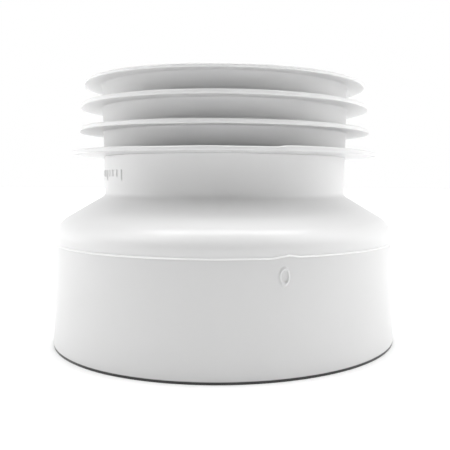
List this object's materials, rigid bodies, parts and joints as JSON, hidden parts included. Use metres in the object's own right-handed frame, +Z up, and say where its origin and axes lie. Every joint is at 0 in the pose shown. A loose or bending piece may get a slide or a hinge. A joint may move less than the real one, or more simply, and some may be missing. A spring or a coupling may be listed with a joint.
{
  "type": "eccentric reducer",
  "caption": "Short push-fit pipe connector: a wide cup with a lip seal tapers through an offset shoulder to a spigot with wiping fins and a stop flange.",
  "frame": {"origin": "on the ground, in the middle of the fitting's footprint; the cup's axis is at y = -2.2 mm and the spigot's axis at y = +7.8 mm", "axes": "+Z up from the cup's mouth to the spigot's end; +Y is the side towards which the spigot's axis is set back; +X to the right when looking along +Y"},
  "size_m": [0.135, 0.1394, 0.101],
  "materials": {
    "body_plastic": "white moulded plastic, satin",
    "skirt_plastic": "white moulded plastic, satin",
    "bead_plastic": "white plastic weld bead, slightly glossier",
    "sleeve_elastomer": "white soft flexible plastic, satin",
    "flange_elastomer": "white soft flexible plastic, satin",
    "seat_plastic": "white moulded plastic, matt",
    "seal_rubber": "grey soft rubber, matt",
    "retainer_plastic": "white moulded plastic, satin"
  },
  "bodies": {
    "connector": {"reducer_body": "body_plastic", "cup_skirt": "skirt_plastic", "weld_bead": "bead_plastic", "seal_seat_ring": "seat_plastic"},
    "spigot_seal": {"fin_sleeve": "sleeve_elastomer", "stop_flange": "flange_elastomer"},
    "pan_seal_cartridge": {"pan_seal": "seal_rubber", "seal_retaining_ring": "retainer_plastic"}
  },
  "joints": [
    {"name": "spigot_seal_slide", "type": "slide", "parent": "connector", "child": "spigot_seal", "axis": [0, 0, 1], "range_m": [0, 0.032]},
    {"name": "pan_seal_slide", "type": "slide", "parent": "connector", "child": "pan_seal_cartridge", "axis": [0, 0, -1], "range_m": [0, 0.026]}
  ]
}
